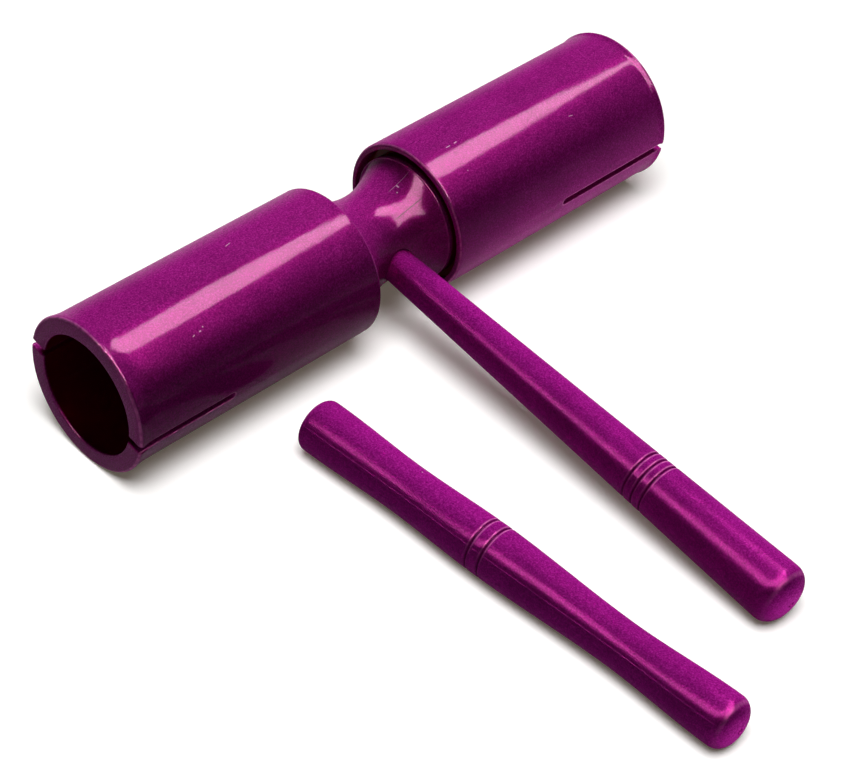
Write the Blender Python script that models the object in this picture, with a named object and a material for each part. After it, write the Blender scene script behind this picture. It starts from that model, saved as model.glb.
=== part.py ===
# A two-tone block: two slotted moulded tubes on a waisted hub, with a handle,
# and a loose beater that lies beside it.
# Metres, +Z up. The tubes' axis lies along X and the handle points along -Y.
# The block rests on the rims of its two mouths and on the end of its handle.

from math import asin, atan, atan2, cos, hypot, pi, radians, sin, sqrt

import bmesh
import bpy

# Tubes
OVERALL_LENGTH = 0.2000         # mouth face to mouth face
WAIST_LENGTH = 0.0298           # between the inner ends of the two tubes
HIGH_TUBE_RADIUS = 0.0220
LOW_TUBE_RADIUS = 0.0224
TUBE_WALL = 0.0046
HIGH_SLOT_LENGTH = 0.0327
LOW_SLOT_LENGTH = 0.0428
SLOT_WIDTH = 0.0023
HIGH_TUBE_TURN = radians(3.0)   # the high tube sits turned a little on the hub

# Rim and edges of the tubes
HIGH_RIM_STAND = 0.0006         # how far each mouth's rim stands proud of its tube
LOW_RIM_STAND = 0.0004
RIM_LENGTH = 0.0016
RIM_STEP = 0.0003               # length of the slope behind the rim
MOUTH_ROUNDING = 0.0009
BORE_CHAMFER = 0.0004
INNER_END_ROUNDING = 0.0010
SKIRT_CHAMFER = 0.0003

# Seat of the hub in the tubes
SKIRT_THICKNESS = 0.0019        # tube wall round the hub's plug
MOAT_WIDTH = 0.0020             # open ring between the skirt and the flange
MOAT_DEPTH = 0.0030
PLUG_LENGTH = 0.0050
PLUG_CHAMFER = 0.0004
CLEARANCE = 0.0003              # between pieces that fit together

# Hub
WAIST_RADIUS = 0.0132
FLANGE_STAND = 0.0009           # the flanges' rims stand out of the tubes' ends
FLANGE_CHAMFER = 0.0003
SOCKET_END = 0.0035             # socket floor, from the hub's middle

# Handle, measured from the hub's middle along its own axis
HANDLE_REACH = 0.1606
HANDLE_ROOT_RADIUS = 0.0050     # where it enters the hub's waist
HANDLE_END_RADIUS = 0.0087      # where the dome starts
HANDLE_DOME = 0.0059
HANDLE_ROOT_CHAMFER = 0.0005
HANDLE_GROOVES = 3
HANDLE_GROOVE_FROM_TIP = 0.0472
HANDLE_GROOVE_PITCH = 0.0031

# Beater, end A beside the block and end B away from it
BEATER_LENGTH = 0.1449
BEATER_END_A_RADIUS = 0.00775
BEATER_NECK_A_RADIUS = 0.0070
BEATER_MIDDLE_RADIUS = 0.00765
BEATER_NECK_B_RADIUS = 0.0064
BEATER_END_B_RADIUS = 0.00755
BEATER_SHOULDER_A = 0.0054      # from tip A to the widest place of end A
BEATER_WAIST_A = 0.0342         # from tip A to the narrowest place
BEATER_MIDDLE = 0.0632          # from tip A to the middle swell
BEATER_WAIST_B = 0.0378         # from tip B to the narrowest place
BEATER_SHOULDER_B = 0.0056      # from tip B to the widest place of end B
BEATER_DOME_A = 0.0034
BEATER_DOME_B = 0.0052
BEATER_RING = 0.0041            # between the two grooves of the middle swell
BEATER_END_A_FULLNESS = 3.0     # of a dome: 2 is an ellipse, more is squarer
END_FULLNESS = 2.4              # of the other domes

# Grooves of the handle and the beater
GROOVE_WIDTH = 0.0011
GROOVE_DEPTH = 0.0004
GROOVE_FLOOR = 0.0004           # width of a groove's flat bottom

# Place of the beater beside the block
BEATER_GAP = 0.0107             # from the wider rim to tip A
BEATER_SIDE = 0.0495            # from the handle's plane to tip A
BEATER_ANGLE = radians(3.4)     # away from parallel with the handle

# Facets
TUBE_SEGMENTS = 56
STICK_SEGMENTS = 36
CORNER_STEPS = 3
DOME_STEPS = 6
FLARE_STEPS = 8
SWELL_STEPS = 4
SLOT_END_STEPS = 8
SOCKET_SEGMENTS = 28
WELD = 0.000001
SHARP_ANGLE = radians(30)
CUT_MARGIN = 0.002              # a cutter runs this far past the face it leaves

# Finish, with colours as linear red, green and blue
BLOCK_PURPLE = (0.270, 0.016, 0.190)
STICK_PURPLE = (0.300, 0.020, 0.215)
BLOCK_ROUGHNESS = 0.30
STICK_ROUGHNESS = 0.40

# Sizes that follow from the ones above
TUBE_LENGTH = (OVERALL_LENGTH - WAIST_LENGTH) / 2
HIGH_RIM_RADIUS = HIGH_TUBE_RADIUS + HIGH_RIM_STAND
LOW_RIM_RADIUS = LOW_TUBE_RADIUS + LOW_RIM_STAND
WIDER_RIM = max(HIGH_RIM_RADIUS, LOW_RIM_RADIUS)
COUNTERBORE_DEPTH = MOAT_DEPTH + PLUG_LENGTH + CLEARANCE
HANDLE_SHOULDER = HANDLE_REACH - HANDLE_DOME
HANDLE_ROOT = SOCKET_END + CLEARANCE
SOCKET_RADIUS = HANDLE_ROOT_RADIUS + CLEARANCE
BEATER_NECK_B_PLACE = BEATER_LENGTH - BEATER_WAIST_B
BEATER_END_B_PLACE = BEATER_LENGTH - BEATER_SHOULDER_B

# The axis of the tubes is level, as high as the wider rim needs, and the handle
# falls from there until the widest place of its end touches the floor.
AXIS_HEIGHT = WIDER_RIM
HANDLE_FALL = (asin(AXIS_HEIGHT / hypot(HANDLE_SHOULDER, HANDLE_END_RADIUS))
               - atan2(HANDLE_END_RADIUS, HANDLE_SHOULDER))

# The beater lies on its two ends, so its axis leans by this angle.
BEATER_LEAN = atan((BEATER_END_A_RADIUS - BEATER_END_B_RADIUS)
                   / (BEATER_END_B_PLACE - BEATER_SHOULDER_A))

# The origin is on the floor under the middle of the set's outline.
BACK_REACH = WIDER_RIM
BEATER_FRONT = WIDER_RIM + BEATER_GAP + BEATER_LENGTH * cos(BEATER_ANGLE)
HANDLE_FRONT = HANDLE_REACH * cos(HANDLE_FALL)
FRONT_REACH = max(BEATER_FRONT, HANDLE_FRONT)
BLOCK_Y = (FRONT_REACH - BACK_REACH) / 2


def clear_scene():
    for item in list(bpy.data.objects):
        bpy.data.objects.remove(item, do_unlink=True)


def plastic(name, colour, roughness):
    material = bpy.data.materials.new(name)
    material.use_nodes = True
    shader = material.node_tree.nodes["Principled BSDF"]
    shader.inputs["Base Color"].default_value = (*colour, 1.0)
    shader.inputs["Roughness"].default_value = roughness
    shader.inputs["Metallic"].default_value = 0.0
    return material


def empty(name, location, rotation=(0.0, 0.0, 0.0), parent=None):
    holder = bpy.data.objects.new(name, None)
    bpy.context.collection.objects.link(holder)
    holder.location = location
    holder.rotation_euler = rotation
    holder.parent = parent
    return holder


def add_object(name, bm, parent, material=None):
    bmesh.ops.recalc_face_normals(bm, faces=bm.faces)
    mesh = bpy.data.meshes.new(name)
    bm.to_mesh(mesh)
    bm.free()
    mesh.shade_smooth()
    mesh.set_sharp_from_angle(angle=SHARP_ANGLE)
    if material is not None:
        mesh.materials.append(material)
    thing = bpy.data.objects.new(name, mesh)
    bpy.context.collection.objects.link(thing)
    thing.parent = parent
    return thing


def turned(name, profile, segments, parent, material):
    """A body spun about its own X axis from points of (place along X, radius).

    A profile that starts and ends on the axis gives a solid piece, and any
    other profile is closed on itself and gives a ring or a tube.
    """
    bm = bmesh.new()
    points = [bm.verts.new((place, 0.0, radius)) for place, radius in profile]
    edges = [bm.edges.new(pair) for pair in zip(points, points[1:])]
    solid = profile[0][1] == 0.0 and profile[-1][1] == 0.0
    if not solid:
        edges.append(bm.edges.new((points[-1], points[0])))
    bmesh.ops.spin(bm, geom=points + edges, cent=(0.0, 0.0, 0.0), axis=(1.0, 0.0, 0.0),
                   angle=2 * pi, steps=segments, use_merge=True)
    bmesh.ops.remove_doubles(bm, verts=bm.verts, dist=WELD)
    return add_object(name, bm, parent, material)


def corner(centre, radius, start, end, steps=CORNER_STEPS):
    """Points on an arc about a centre, from one angle to another in degrees."""
    place, height = centre
    angles = [radians(start + (end - start) * step / steps) for step in range(steps + 1)]
    return [(place + radius * cos(angle), height + radius * sin(angle)) for angle in angles]


def cut(target, cutter):
    cutter.hide_render = True
    cutter.display_type = "WIRE"
    boolean = target.modifiers.new("cut_" + cutter.name, "BOOLEAN")
    boolean.operation = "DIFFERENCE"
    boolean.object = cutter


def tube_profile(radius, rim_radius):
    """Section of a tube, from its mouth at 0 to its inner end."""
    bore = radius - TUBE_WALL
    counterbore = radius - SKIRT_THICKNESS
    seat = TUBE_LENGTH - COUNTERBORE_DEPTH
    mouth = corner((MOUTH_ROUNDING, rim_radius - MOUTH_ROUNDING), MOUTH_ROUNDING, 180, 90)
    inner_end = corner((TUBE_LENGTH - INNER_END_ROUNDING, radius - INNER_END_ROUNDING),
                       INNER_END_ROUNDING, 90, 0)
    return [
        (BORE_CHAMFER, bore),
        (0.0, bore + BORE_CHAMFER),
        *mouth,
        (RIM_LENGTH, rim_radius),
        (RIM_LENGTH + RIM_STEP, radius),
        *inner_end,
        (TUBE_LENGTH, counterbore + SKIRT_CHAMFER),
        (TUBE_LENGTH - SKIRT_CHAMFER, counterbore),
        (seat, counterbore),
        (seat, bore),
    ]


def slot_cutter(name, length, rim_radius, parent):
    """A flat bar with a round end, which cuts both walls of a tube at its mouth."""
    half = SLOT_WIDTH / 2
    reach = rim_radius + CUT_MARGIN
    outline = [(-CUT_MARGIN, -half), *corner((length - half, 0.0), half, -90, 90, SLOT_END_STEPS),
               (-CUT_MARGIN, half)]
    bm = bmesh.new()
    face = bm.faces.new([bm.verts.new((place, -reach, height)) for place, height in outline])
    side = bmesh.ops.extrude_face_region(bm, geom=[face])
    moved = [item for item in side["geom"] if isinstance(item, bmesh.types.BMVert)]
    bmesh.ops.translate(bm, verts=moved, vec=(0.0, 2 * reach, 0.0))
    return add_object(name, bm, parent)


def make_tube(name, radius, rim_radius, slot_length, block, material):
    tube = turned(name, tube_profile(radius, rim_radius), TUBE_SEGMENTS, block, material)
    cut(tube, slot_cutter(name + "_slot", slot_length, rim_radius, tube))
    return tube


def hub_half(tube_radius):
    """Half of the hub's outline, from the middle of its waist to its end face."""
    plug_radius = tube_radius - SKIRT_THICKNESS - CLEARANCE
    flange_radius = tube_radius - SKIRT_THICKNESS - MOAT_WIDTH
    tube_end = WAIST_LENGTH / 2
    shoulder = tube_end + MOAT_DEPTH
    end = shoulder + PLUG_LENGTH
    # The flare is one arc, level at the waist, that ends at the flange's edge.
    run = tube_end - FLANGE_STAND
    rise = flange_radius - FLANGE_CHAMFER - WAIST_RADIUS
    arc = (run * run + rise * rise) / (2 * rise)
    steps = [run * step / FLARE_STEPS for step in range(1, FLARE_STEPS + 1)]
    flare = [(place, WAIST_RADIUS + arc - sqrt(arc * arc - place * place)) for place in steps]
    return [
        *flare,
        (run + FLANGE_CHAMFER, flange_radius),
        (shoulder, flange_radius),
        (shoulder, plug_radius),
        (end - PLUG_CHAMFER, plug_radius),
        (end, plug_radius - PLUG_CHAMFER),
        (end, 0.0),
    ]


def make_hub(block, material):
    high_side = [(-place, radius) for place, radius in hub_half(HIGH_TUBE_RADIUS)]
    low_side = hub_half(LOW_TUBE_RADIUS)
    outline = high_side[::-1] + [(0.0, WAIST_RADIUS)] + low_side
    hub = turned("hub", outline, TUBE_SEGMENTS, block, material)
    depth = WAIST_RADIUS + CUT_MARGIN - SOCKET_END
    bm = bmesh.new()
    bmesh.ops.create_cone(bm, cap_ends=True, segments=SOCKET_SEGMENTS,
                          radius1=SOCKET_RADIUS, radius2=SOCKET_RADIUS, depth=depth)
    socket = add_object("handle_socket", bm, hub)
    socket.location = (0.0, -(SOCKET_END + depth / 2), 0.0)
    socket.rotation_euler = (pi / 2, 0.0, 0.0)
    cut(hub, socket)
    return hub


def groove(place, radius_at):
    """A shallow groove in a turned outline."""
    half = GROOVE_WIDTH / 2
    floor = GROOVE_FLOOR / 2
    bottom = radius_at(place) - GROOVE_DEPTH
    return [
        (place - half, radius_at(place - half)),
        (place - floor, bottom),
        (place + floor, bottom),
        (place + half, radius_at(place + half)),
    ]


def dome(start, length, radius, fullness=END_FULLNESS):
    """A rounded end from its shoulder to its tip, which is on the axis."""
    power = 2 / fullness
    angles = [pi / 2 * step / DOME_STEPS for step in range(DOME_STEPS)]
    rounded = [(start + length * sin(angle) ** power, radius * cos(angle) ** power)
               for angle in angles]
    return rounded + [(start + length, 0.0)]


def handle_radius(place):
    taper = (HANDLE_END_RADIUS - HANDLE_ROOT_RADIUS) / (HANDLE_SHOULDER - WAIST_RADIUS)
    return HANDLE_ROOT_RADIUS + taper * (place - WAIST_RADIUS)


def make_handle(block, material):
    outline = [
        (HANDLE_ROOT, 0.0),
        (HANDLE_ROOT, handle_radius(HANDLE_ROOT) - HANDLE_ROOT_CHAMFER),
        (HANDLE_ROOT + HANDLE_ROOT_CHAMFER, handle_radius(HANDLE_ROOT)),
    ]
    for count in range(HANDLE_GROOVES - 1, -1, -1):
        place = HANDLE_REACH - HANDLE_GROOVE_FROM_TIP - count * HANDLE_GROOVE_PITCH
        outline += groove(place, handle_radius)
    outline += dome(HANDLE_SHOULDER, HANDLE_DOME, HANDLE_END_RADIUS)
    handle = turned("handle", outline, STICK_SEGMENTS, block, material)
    handle.rotation_euler = (0.0, 0.0, -pi / 2)
    return handle


def beater_stations():
    return [
        (BEATER_SHOULDER_A, BEATER_END_A_RADIUS),
        (BEATER_WAIST_A, BEATER_NECK_A_RADIUS),
        (BEATER_MIDDLE, BEATER_MIDDLE_RADIUS),
        (BEATER_NECK_B_PLACE, BEATER_NECK_B_RADIUS),
        (BEATER_END_B_PLACE, BEATER_END_B_RADIUS),
    ]


def beater_radius(place):
    """The beater swells and narrows smoothly from each station to the next."""
    stations = beater_stations()
    place = min(max(place, stations[0][0]), stations[-1][0])
    for (start, radius), (end, next_radius) in zip(stations, stations[1:]):
        if place <= end:
            share = (place - start) / (end - start)
            return radius + (next_radius - radius) * share * share * (3 - 2 * share)
    return stations[-1][1]


def beater_outline():
    grooves = [BEATER_MIDDLE - BEATER_RING / 2, BEATER_MIDDLE + BEATER_RING / 2]
    first, last = grooves[0] - GROOVE_WIDTH, grooves[1] + GROOVE_WIDTH
    stations = beater_stations()
    smooth = [stations[0]]
    for (start, _), (end, _) in zip(stations, stations[1:]):
        places = [start + (end - start) * step / SWELL_STEPS for step in range(1, SWELL_STEPS + 1)]
        smooth += [(place, beater_radius(place)) for place in places]
    end_a = [(BEATER_DOME_A - place, radius) for place, radius
             in dome(0.0, BEATER_DOME_A, BEATER_END_A_RADIUS, BEATER_END_A_FULLNESS)]
    end_b = dome(BEATER_LENGTH - BEATER_DOME_B, BEATER_DOME_B, BEATER_END_B_RADIUS)
    before = [point for point in smooth if point[0] < first]
    after = [point for point in smooth if point[0] > last]
    rings = [point for place in grooves for point in groove(place, beater_radius)]
    return end_a[::-1] + before + rings + after + end_b


def make_beater(set_origin, material):
    beater = turned("beater", beater_outline(), STICK_SEGMENTS, set_origin, material)
    height = max(radius * cos(BEATER_LEAN) + place * sin(BEATER_LEAN)
                 for place, radius in beater_stations())
    beater.location = (-BEATER_SIDE, BLOCK_Y - WIDER_RIM - BEATER_GAP, height)
    beater.rotation_euler = (0.0, BEATER_LEAN, BEATER_ANGLE - pi / 2)
    return beater


def make_set():
    clear_scene()
    set_origin = empty("set_origin", (0.0, 0.0, 0.0))
    block = empty("block", (0.0, BLOCK_Y, AXIS_HEIGHT), (HANDLE_FALL, 0.0, 0.0), set_origin)

    high_tube = make_tube("high_tube", HIGH_TUBE_RADIUS, HIGH_RIM_RADIUS, HIGH_SLOT_LENGTH, block,
                          plastic("high_tube_plastic", BLOCK_PURPLE, BLOCK_ROUGHNESS))
    high_tube.location = (-OVERALL_LENGTH / 2, 0.0, 0.0)
    high_tube.rotation_euler = (HIGH_TUBE_TURN, 0.0, 0.0)

    low_tube = make_tube("low_tube", LOW_TUBE_RADIUS, LOW_RIM_RADIUS, LOW_SLOT_LENGTH, block,
                         plastic("low_tube_plastic", BLOCK_PURPLE, BLOCK_ROUGHNESS))
    low_tube.location = (OVERALL_LENGTH / 2, 0.0, 0.0)
    low_tube.rotation_euler = (0.0, 0.0, pi)

    make_hub(block, plastic("hub_plastic", BLOCK_PURPLE, BLOCK_ROUGHNESS))
    make_handle(block, plastic("handle_plastic", STICK_PURPLE, STICK_ROUGHNESS))
    make_beater(set_origin, plastic("beater_plastic", STICK_PURPLE, STICK_ROUGHNESS))


make_set()
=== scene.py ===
# The looks of the two-tone block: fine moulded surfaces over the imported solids,
# purple plastic, a pale floor and soft studio light.
# Metres, +Z up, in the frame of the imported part. Angles are in radians, but for those
# whose comment names degrees.

from math import asin, atan, atan2, cos, degrees, hypot, pi, radians, sin, sqrt

import bmesh
import bpy
from mathutils import Euler, Matrix, Vector


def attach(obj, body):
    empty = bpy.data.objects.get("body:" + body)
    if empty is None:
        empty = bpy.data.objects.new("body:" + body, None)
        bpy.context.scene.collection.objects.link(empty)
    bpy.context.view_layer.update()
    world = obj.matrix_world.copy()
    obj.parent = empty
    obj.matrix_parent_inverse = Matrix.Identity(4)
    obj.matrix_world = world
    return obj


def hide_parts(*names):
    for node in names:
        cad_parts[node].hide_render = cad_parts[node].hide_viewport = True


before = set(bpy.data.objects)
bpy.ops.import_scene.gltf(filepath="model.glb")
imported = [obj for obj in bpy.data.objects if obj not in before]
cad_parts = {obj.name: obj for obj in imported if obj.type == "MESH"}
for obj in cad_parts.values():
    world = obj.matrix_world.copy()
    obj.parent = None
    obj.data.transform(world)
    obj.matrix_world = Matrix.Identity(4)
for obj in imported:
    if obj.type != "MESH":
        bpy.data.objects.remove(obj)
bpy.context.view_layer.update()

# Tubes, as in the solids
OVERALL_LENGTH = 0.2000
WAIST_LENGTH = 0.0298
HIGH_TUBE_RADIUS = 0.0220
LOW_TUBE_RADIUS = 0.0224
TUBE_WALL = 0.0046
HIGH_SLOT_LENGTH = 0.0327
LOW_SLOT_LENGTH = 0.0428
SLOT_WIDTH = 0.0023
HIGH_TUBE_TURN = radians(3.0)
HIGH_RIM_STAND = 0.0006
LOW_RIM_STAND = 0.0004
MOUTH_ROUNDING = 0.0009
HIGH_FLARE_LENGTH = 0.0062      # from the mouth to where the rim has run out into the tube
LOW_FLARE_LENGTH = 0.0030
BORE_EDGE_ROUNDING = 0.0005
INNER_END_ROUNDING = 0.0010
SKIRT_EDGE_ROUNDING = 0.0003
SLOT_EDGE_ROUNDING = 0.00025

# Seat of the hub in the tubes
SKIRT_THICKNESS = 0.0019
MOAT_WIDTH = 0.0020
MOAT_DEPTH = 0.0030
PLUG_LENGTH = 0.0050
CLEARANCE = 0.0003

# Hub
WAIST_RADIUS = 0.0132
FLANGE_STAND = 0.0009
FLANGE_LIP_ROUNDING = 0.0004
PLUG_EDGE_ROUNDING = 0.0004
SOCKET_END = 0.0035

# Handle, measured from the hub's middle along its own axis
HANDLE_REACH = 0.1606
HANDLE_ROOT_RADIUS = 0.0050
HANDLE_END_RADIUS = 0.0087
HANDLE_DOME = 0.0059
HANDLE_ROOT_CHAMFER = 0.0005
HANDLE_GROOVES = 3
HANDLE_GROOVE_FROM_TIP = 0.0472
HANDLE_GROOVE_PITCH = 0.0031

# Beater
BEATER_LENGTH = 0.1449
BEATER_END_A_RADIUS = 0.00775
BEATER_NECK_A_RADIUS = 0.0070
BEATER_MIDDLE_RADIUS = 0.00765
BEATER_NECK_B_RADIUS = 0.0064
BEATER_END_B_RADIUS = 0.00755
BEATER_SHOULDER_A = 0.0054
BEATER_WAIST_A = 0.0342
BEATER_MIDDLE = 0.0632
BEATER_WAIST_B = 0.0378
BEATER_SHOULDER_B = 0.0056
BEATER_DOME_A = 0.0034
BEATER_DOME_B = 0.0052
BEATER_RING = 0.0041
BEATER_END_A_FULLNESS = 3.0
END_FULLNESS = 2.4

# Grooves, gate marks and parting lines
GROOVE_WIDTH = 0.0011
GROOVE_DEPTH = 0.0004
GROOVE_ROOM = GROOVE_WIDTH * 0.6        # from a groove's middle to the next point of the outline
GATE_RADIUS = 0.0009                    # of the dimple at a dome's tip
GATE_DEPTH = 0.00035
GATE_CLEAR_RADIUS = GATE_RADIUS * 1.1   # the dome's own points end here
GATE_FLOOR_RADIUS = GATE_RADIUS * 0.85
GATE_NUB_RADIUS = 0.00035               # of the nub that stands in the dimple
GATE_NUB_FOOT_RADIUS = GATE_NUB_RADIUS * 1.3
GATE_NUB_TOP_RADIUS = GATE_NUB_RADIUS * 0.6
GATE_NUB_SHOULDER = GATE_DEPTH * 0.3    # how far the nub's shoulder and top lie behind the tip
GATE_NUB_TOP = GATE_DEPTH * 0.1
PARTING_HEIGHT = 0.00005
BEATER_PARTING_ANGLE = radians(56)      # round the stick, from straight up

# Place of the beater beside the block
BEATER_GAP = 0.0107
BEATER_SIDE = 0.0495
BEATER_ANGLE = radians(3.4)

# Fineness of the meshes
TUBE_SEGMENTS = 288
STICK_SEGMENTS = 216
CORNER_STEPS = 8
DOME_STEPS = 26
FLARE_STEPS = 48
SWELL_STEPS = 26
TAPER_STEPS = 12
GROOVE_STEPS = 10
SLOT_END_STEPS = 20
SLOT_EDGE_STEPS = 4
SHARP_ANGLE = radians(24)
CUT_MARGIN = 0.002              # how far a cutter goes past what it cuts
LOCAL = "local"                 # the attribute with a vertex's place before its piece was moved

# Camera, fitted to the photograph; angles in degrees
CAMERA_TARGET = (-0.0083, -0.0383)      # on the floor, from the middle of the hub
CAMERA_DISTANCE = 0.7229
CAMERA_AZIMUTH = 48.94
CAMERA_ELEVATION = 43.59
CAMERA_ROLL = 6.86
CAMERA_LENS = 108.38
CAMERA_SENSOR = 36.0
CAMERA_NEAR = 0.01
CAMERA_FAR = 50.0

# Sizes that follow from the ones above, as in the solids
TUBE_LENGTH = (OVERALL_LENGTH - WAIST_LENGTH) / 2
HIGH_RIM_RADIUS = HIGH_TUBE_RADIUS + HIGH_RIM_STAND
LOW_RIM_RADIUS = LOW_TUBE_RADIUS + LOW_RIM_STAND
WIDER_RIM = max(HIGH_RIM_RADIUS, LOW_RIM_RADIUS)
COUNTERBORE_DEPTH = MOAT_DEPTH + PLUG_LENGTH + CLEARANCE
HANDLE_SHOULDER = HANDLE_REACH - HANDLE_DOME
HANDLE_ROOT = SOCKET_END + CLEARANCE
SOCKET_RADIUS = HANDLE_ROOT_RADIUS + CLEARANCE
BEATER_NECK_B_PLACE = BEATER_LENGTH - BEATER_WAIST_B
BEATER_END_B_PLACE = BEATER_LENGTH - BEATER_SHOULDER_B
HANDLE_GROOVE_PLACES = [HANDLE_REACH - HANDLE_GROOVE_FROM_TIP - count * HANDLE_GROOVE_PITCH
                        for count in range(HANDLE_GROOVES)]
BEATER_GROOVE_PLACES = [BEATER_MIDDLE - BEATER_RING / 2, BEATER_MIDDLE + BEATER_RING / 2]
AXIS_HEIGHT = WIDER_RIM
HANDLE_FALL = (asin(AXIS_HEIGHT / hypot(HANDLE_SHOULDER, HANDLE_END_RADIUS))
               - atan2(HANDLE_END_RADIUS, HANDLE_SHOULDER))
BEATER_LEAN = atan((BEATER_END_A_RADIUS - BEATER_END_B_RADIUS)
                   / (BEATER_END_B_PLACE - BEATER_SHOULDER_A))
BEATER_FRONT = WIDER_RIM + BEATER_GAP + BEATER_LENGTH * cos(BEATER_ANGLE)
BLOCK_Y = (BEATER_FRONT - WIDER_RIM) / 2
BLOCK_PLACE = Matrix.Translation((0.0, BLOCK_Y, AXIS_HEIGHT)) @ Matrix.Rotation(HANDLE_FALL, 4, "X")


def srgb(red, green, blue):
    """A colour given as 0 to 255 on the screen, as linear values with alpha."""
    def linear(value):
        share = value / 255
        return share / 12.92 if share <= 0.04045 else ((share + 0.055) / 1.055) ** 2.4
    return (linear(red), linear(green), linear(blue), 1.0)


# Mesh helpers

def add_mesh(name, bm, material=None):
    """Makes an object of a bmesh, smooth but for its sharp edges."""
    bmesh.ops.recalc_face_normals(bm, faces=bm.faces)
    mesh = bpy.data.meshes.new(name)
    bm.to_mesh(mesh)
    bm.free()
    mesh.shade_smooth()
    mesh.set_sharp_from_angle(angle=SHARP_ANGLE)
    if material is not None:
        mesh.materials.append(material)
    thing = bpy.data.objects.new(name, mesh)
    bpy.context.collection.objects.link(thing)
    return thing


def turned(name, profile, segments, material=None, parting=None):
    """A body spun about its own X axis from points of (place along X, radius).

    A profile that doesn't begin and end on the axis is closed into a ring. parting is an
    angle round the body, at which a fine moulding line stands proud.
    """
    bm = bmesh.new()
    solid = profile[0][1] == 0.0 and profile[-1][1] == 0.0
    ridge = None if parting is None else round(parting / (2 * pi) * segments) % segments
    rings = []
    for place, radius in profile:
        if radius == 0.0:
            rings.append([bm.verts.new((place, 0.0, 0.0))])
            continue
        ring = []
        for count in range(segments):
            angle = 2 * pi * count / segments
            reach = radius + (PARTING_HEIGHT if count == ridge else 0.0)
            ring.append(bm.verts.new((place, -reach * sin(angle), reach * cos(angle))))
        rings.append(ring)
    pairs = list(zip(rings, rings[1:]))
    if not solid:
        pairs.append((rings[-1], rings[0]))
    for first, second in pairs:
        for count in range(segments):
            after = (count + 1) % segments
            # A ring on the axis has a single point, which serves for every corner
            corners = [first[count % len(first)], first[after % len(first)],
                       second[after % len(second)], second[count % len(second)]]
            bm.faces.new(list(dict.fromkeys(corners)))
    return add_mesh(name, bm, material)


def corner(centre, radius, start, end, steps=CORNER_STEPS):
    """Points on an arc about a centre, from one angle to another in degrees."""
    place, height = centre
    angles = [radians(start + (end - start) * step / steps) for step in range(steps + 1)]
    return [(place + radius * cos(angle), height + radius * sin(angle)) for angle in angles]


def spread(start, end, steps, radius_at):
    """Points at equal steps along the axis, each with the radius at its place."""
    places = [start + (end - start) * step / steps for step in range(steps + 1)]
    return [(place, radius_at(place)) for place in places]


def cut(target, cutter):
    """Takes the cutter's shape out of the target, and removes the cutter."""
    boolean = target.modifiers.new("cut", "BOOLEAN")
    boolean.operation = "DIFFERENCE"
    boolean.solver = "EXACT"
    boolean.object = cutter
    graph = bpy.context.evaluated_depsgraph_get()
    mesh = bpy.data.meshes.new_from_object(target.evaluated_get(graph))
    target.modifiers.remove(boolean)
    target.data = mesh
    mesh.shade_smooth()
    mesh.set_sharp_from_angle(angle=SHARP_ANGLE)
    bpy.data.objects.remove(cutter, do_unlink=True)


def settle(piece, matrix, body, node):
    """Moves a piece's mesh to its place, and keeps the old places for its material."""
    mesh = piece.data
    local = mesh.attributes.new(LOCAL, "FLOAT_VECTOR", "POINT")
    for count, vertex in enumerate(mesh.vertices):
        local.data[count].vector = vertex.co
    mesh.transform(matrix)
    mesh.update()
    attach(piece, body)
    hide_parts(node)
    return piece


# Tubes

def tube_profile(radius, rim_radius, flare_length):
    """Section of a tube, from its mouth at 0 to its inner end."""
    bore = radius - TUBE_WALL
    counterbore = radius - SKIRT_THICKNESS
    seat = TUBE_LENGTH - COUNTERBORE_DEPTH
    edge, skirt = BORE_EDGE_ROUNDING, SKIRT_EDGE_ROUNDING
    turn = atan(2 * (rim_radius - radius) / (flare_length - MOUTH_ROUNDING))
    lip = corner((MOUTH_ROUNDING, rim_radius - MOUTH_ROUNDING), MOUTH_ROUNDING, 180, 90 - degrees(turn))
    start, top = lip[-1]

    def flare(place):
        share = (flare_length - place) / (flare_length - start)
        return radius + (top - radius) * share * share

    return [
        *corner((edge, bore + edge), edge, 270, 180),
        *lip,
        *spread(start, flare_length, FLARE_STEPS // 2, flare)[1:],
        *corner((TUBE_LENGTH - INNER_END_ROUNDING, radius - INNER_END_ROUNDING),
                INNER_END_ROUNDING, 90, 0),
        *corner((TUBE_LENGTH - skirt, counterbore + skirt), skirt, 360, 270),
        (seat, counterbore),
        (seat, bore),
    ]


def slot_outline(half, end, extra):
    """A slot's outline in X and Z, open towards the mouth and wider by extra on each side."""
    reach = half + extra
    tip = corner((end - half, 0.0), reach, -90, 90, SLOT_END_STEPS)
    flare = SLOT_EDGE_ROUNDING
    return [(-CUT_MARGIN, -reach - flare), (0.0, -reach - flare), (flare, -reach), *tip,
            (flare, reach), (0.0, reach + flare), (-CUT_MARGIN, reach + flare)]


def slot_cutter(name, length, radius, rim_radius):
    """A bar right through the tube, which widens in a small curve at the tube's surface."""
    half = SLOT_WIDTH / 2
    edge = SLOT_EDGE_ROUNDING
    levels = []
    for step in range(SLOT_EDGE_STEPS + 1):
        angle = pi / 2 * step / SLOT_EDGE_STEPS
        levels.append((radius - edge + edge * sin(angle), edge - edge * cos(angle)))
    levels.append((rim_radius + CUT_MARGIN, edge))
    both = [(-depth, extra) for depth, extra in reversed(levels)] + levels
    bm = bmesh.new()
    rings = [[bm.verts.new((place, depth, height))
              for place, height in slot_outline(half, length, extra)]
             for depth, extra in both]
    for first, second in zip(rings, rings[1:]):
        for count in range(len(first)):
            after = (count + 1) % len(first)
            bm.faces.new((first[count], first[after], second[after], second[count]))
    bm.faces.new(rings[0])
    bm.faces.new(rings[-1])
    return add_mesh(name, bm)


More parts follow.
